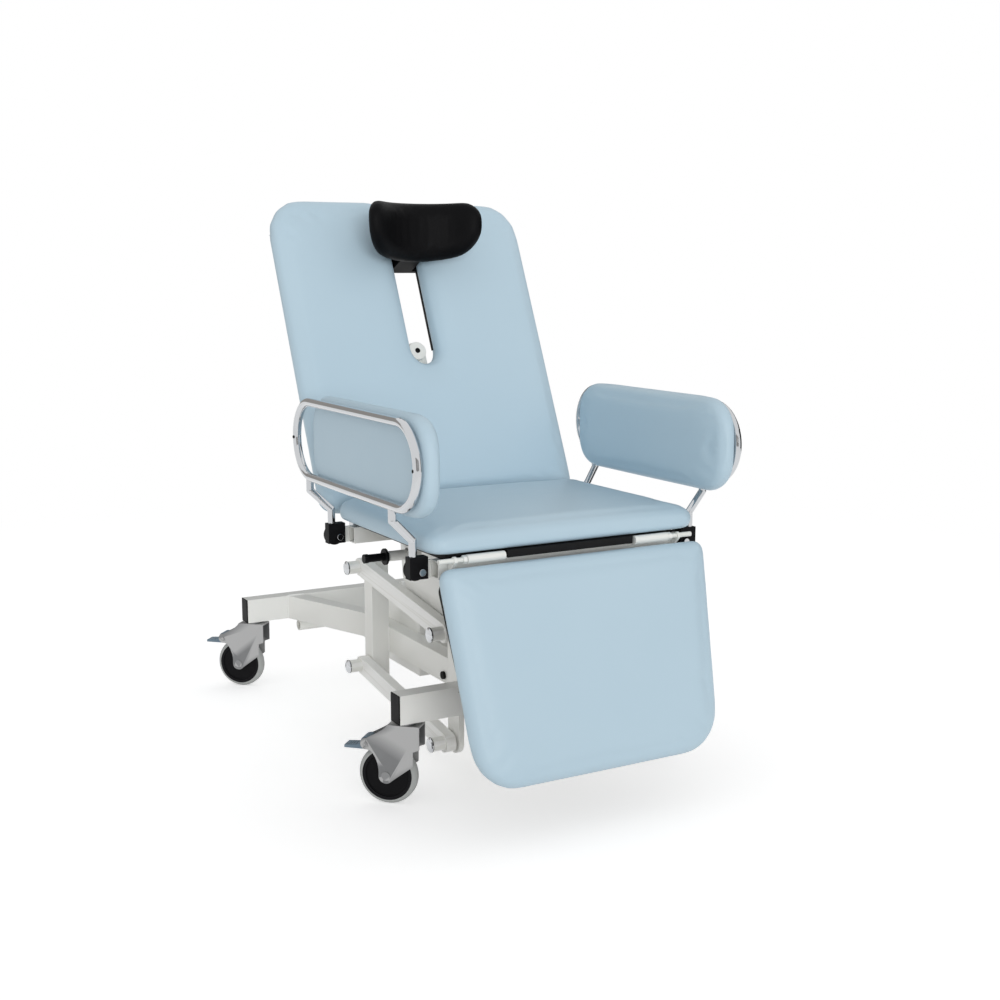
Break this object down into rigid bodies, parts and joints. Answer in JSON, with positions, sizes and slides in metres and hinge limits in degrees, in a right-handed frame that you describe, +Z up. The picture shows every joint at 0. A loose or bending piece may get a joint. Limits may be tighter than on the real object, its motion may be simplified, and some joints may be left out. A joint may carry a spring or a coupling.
{
  "type": "ear nose throat examination chair",
  "caption": "Examination chair with a reclining backrest, height-adjustable head support, hinged leg section, swing-away armrests and a parallelogram lift on braked castors.",
  "frame": {"origin": "on the floor under the middle of the chair's overall footprint, seat down, backrest at its pictured lean", "axes": "+Z up, +X to the pictured chair's left armrest seen from its front, which is the right of the picture, +Y to the rear"},
  "size_m": [0.7558, 1.3683, 1.2421],
  "materials": {
    "blue_vinyl": "matt upholstery vinyl over foam",
    "black_vinyl": "satin upholstery vinyl over foam",
    "castor_steel": "grey zinc-plated pressed steel",
    "wheel_plastic": "matt moulded plastic",
    "tyre_rubber": "light grey non-marking tyre",
    "pedal_plastic": "slate-blue moulded plastic",
    "black_plastic": "satin moulded plastic",
    "buffer_rubber": "matt rubber",
    "black_steel": "satin black powder coat",
    "black_board": "black faced board",
    "chrome_steel": "polished chrome plate",
    "white_frame": "off-white powder coat"
  },
  "bodies": {
    "base": {"base_front_beam": "white_frame", "base_rear_beam": "white_frame", "base_rails": "white_frame", "base_end_caps": "black_plastic", "base_under_tube": "white_frame", "base_posts": "white_frame", "castor_sockets": "castor_steel", "rail_buffers": "buffer_rubber", "lift_housing": "white_frame", "base_pivot_pins": "chrome_steel", "base_pivot_rings": "black_plastic"},
    "upper_arms": {"upper_arms": "white_frame"},
    "lower_arms": {"lower_arms": "white_frame"},
    "carriage": {"link_plates": "white_frame", "link_tubes": "white_frame", "link_pins": "chrome_steel", "link_rings": "black_plastic", "seat_frame": "white_frame", "seat_board": "black_board", "seat_pad": "blue_vinyl", "knee_sleeves": "white_frame", "back_pins": "chrome_steel", "arm_lugs": "white_frame", "arm_bolts": "chrome_steel", "arm_washers": "black_plastic"},
    "release_lever": {"release_lever": "black_steel"},
    "backrest": {"back_tubes": "white_frame", "back_board": "blue_vinyl", "back_pad": "blue_vinyl", "slot_liners": "black_plastic", "slot_stop": "white_frame"},
    "head_slider": {"head_slider": "black_plastic"},
    "head_support": {"head_bracket": "black_steel", "head_pad": "black_vinyl"},
    "leg_section": {"leg_straps": "white_frame", "leg_board": "black_board", "leg_pad": "blue_vinyl"},
    "armrest_left": {"arm_loop_left": "chrome_steel", "arm_pad_left": "blue_vinyl", "arm_blocks_left": "black_plastic"},
    "armrest_right": {"arm_loop_right": "chrome_steel", "arm_pad_right": "blue_vinyl", "arm_blocks_right": "black_plastic"},
    "castor_fl": {"castor_fl_fork": "castor_steel"},
    "wheel_fl": {"castor_fl_wheel": "wheel_plastic", "castor_fl_tyre": "tyre_rubber"},
    "pedal_fl": {"castor_fl_pedal": "pedal_plastic"},
    "castor_fr": {"castor_fr_fork": "castor_steel"},
    "wheel_fr": {"castor_fr_wheel": "wheel_plastic", "castor_fr_tyre": "tyre_rubber"},
    "pedal_fr": {"castor_fr_pedal": "pedal_plastic"},
    "castor_rl": {"castor_rl_fork": "castor_steel"},
    "wheel_rl": {"castor_rl_wheel": "wheel_plastic", "castor_rl_tyre": "tyre_rubber"},
    "pedal_rl": {"castor_rl_pedal": "pedal_plastic"},
    "castor_rr": {"castor_rr_fork": "castor_steel"},
    "wheel_rr": {"castor_rr_wheel": "wheel_plastic", "castor_rr_tyre": "tyre_rubber"},
    "pedal_rr": {"castor_rr_pedal": "pedal_plastic"}
  },
  "joints": [
    {"name": "lift", "type": "hinge", "parent": "base", "child": "upper_arms", "pos_m": [0, 0.16504, 0.387], "axis": [-1, 0, 0], "range_deg": [0, 47]},
    {"name": "lower_arm_pivot", "type": "hinge", "parent": "base", "child": "lower_arms", "pos_m": [0, 0.16504, 0.146], "axis": [-1, 0, 0], "range_deg": [0, 47]},
    {"name": "carriage_pivot", "type": "hinge", "parent": "upper_arms", "child": "carriage", "pos_m": [0, -0.27396, 0.32765], "axis": [-1, 0, 0], "range_deg": [-47, 0]},
    {"name": "back_recline", "type": "hinge", "parent": "carriage", "child": "backrest", "pos_m": [0, 0.00472, 0.52118], "axis": [-1, 0, 0], "range_deg": [-5, 65]},
    {"name": "head_slide", "type": "slide", "parent": "backrest", "child": "head_slider", "axis": [0, 0.4163, 0.9092], "range_m": [-0.12, 0.05]},
    {"name": "head_tilt", "type": "hinge", "parent": "head_slider", "child": "head_support", "pos_m": [0, 0.19115, 1.16501], "axis": [1, 0, 0], "range_deg": [-30, 5]},
    {"name": "leg_raise", "type": "hinge", "parent": "carriage", "child": "leg_section", "pos_m": [0, -0.53396, 0.543], "axis": [-1, 0, 0], "range_deg": [-10, 75]},
    {"name": "armrest_left_swing", "type": "hinge", "parent": "carriage", "child": "armrest_left", "pos_m": [-0.308, -0.48796, 0.519], "axis": [0, -1, 0], "range_deg": [0, 110]},
    {"name": "armrest_right_swing", "type": "hinge", "parent": "carriage", "child": "armrest_right", "pos_m": [0.308, -0.48796, 0.519], "axis": [0, 1, 0], "range_deg": [0, 110]},
    {"name": "lever_lift", "type": "hinge", "parent": "carriage", "child": "release_lever", "pos_m": [-0.185, -0.20196, 0.489], "axis": [0, 1, 0], "range_deg": [0, 8], "stiffness_Nm_per_rad": 3, "springref_deg": -6.88},
    {"name": "swivel_fl", "type": "hinge", "parent": "base", "child": "castor_fl", "pos_m": [-0.274, -0.34696, 0.172], "axis": [0, 0, 1], "continuous": true},
    {"name": "wheel_fl_spin", "type": "hinge", "parent": "castor_fl", "child": "wheel_fl", "pos_m": [-0.30134, -0.32056, 0.0625], "axis": [-0.6947, -0.7193, 0], "continuous": true},
    {"name": "pedal_fl_press", "type": "hinge", "parent": "castor_fl", "child": "pedal_fl", "pos_m": [-0.33191, -0.29104, 0.12812], "axis": [-0.6947, -0.7193, 0], "range_deg": [0, 10]},
    {"name": "swivel_fr", "type": "hinge", "parent": "base", "child": "castor_fr", "pos_m": [0.274, -0.34696, 0.172], "axis": [0, 0, 1], "continuous": true},
    {"name": "wheel_fr_spin", "type": "hinge", "parent": "castor_fr", "child": "wheel_fr", "pos_m": [0.30134, -0.32056, 0.0625], "axis": [-0.6947, 0.7193, 0], "continuous": true},
    {"name": "pedal_fr_press", "type": "hinge", "parent": "castor_fr", "child": "pedal_fr", "pos_m": [0.33191, -0.29104, 0.12812], "axis": [-0.6947, 0.7193, 0], "range_deg": [0, 10]},
    {"name": "swivel_rl", "type": "hinge", "parent": "base", "child": "castor_rl", "pos_m": [-0.274, 0.58304, 0.172], "axis": [0, 0, 1], "continuous": true},
    {"name": "wheel_rl_spin", "type": "hinge", "parent": "castor_rl", "child": "wheel_rl", "pos_m": [-0.30134, 0.60944, 0.0625], "axis": [-0.6947, -0.7193, 0], "continuous": true},
    {"name": "pedal_rl_press", "type": "hinge", "parent": "castor_rl", "child": "pedal_rl", "pos_m": [-0.33191, 0.63896, 0.12812], "axis": [-0.6947, -0.7193, 0], "range_deg": [0, 10]},
    {"name": "swivel_rr", "type": "hinge", "parent": "base", "child": "castor_rr", "pos_m": [0.274, 0.58304, 0.172], "axis": [0, 0, 1], "continuous": true},
    {"name": "wheel_rr_spin", "type": "hinge", "parent": "castor_rr", "child": "wheel_rr", "pos_m": [0.30134, 0.60944, 0.0625], "axis": [-0.6947, 0.7193, 0], "continuous": true},
    {"name": "pedal_rr_press", "type": "hinge", "parent": "castor_rr", "child": "pedal_rr", "pos_m": [0.33191, 0.63896, 0.12812], "axis": [-0.6947, 0.7193, 0], "range_deg": [0, 10]}
  ],
  "couplings": [
    {"joint": "lower_arm_pivot", "follows": "lift", "ratio": 1},
    {"joint": "carriage_pivot", "follows": "lift", "ratio": -1}
  ]
}
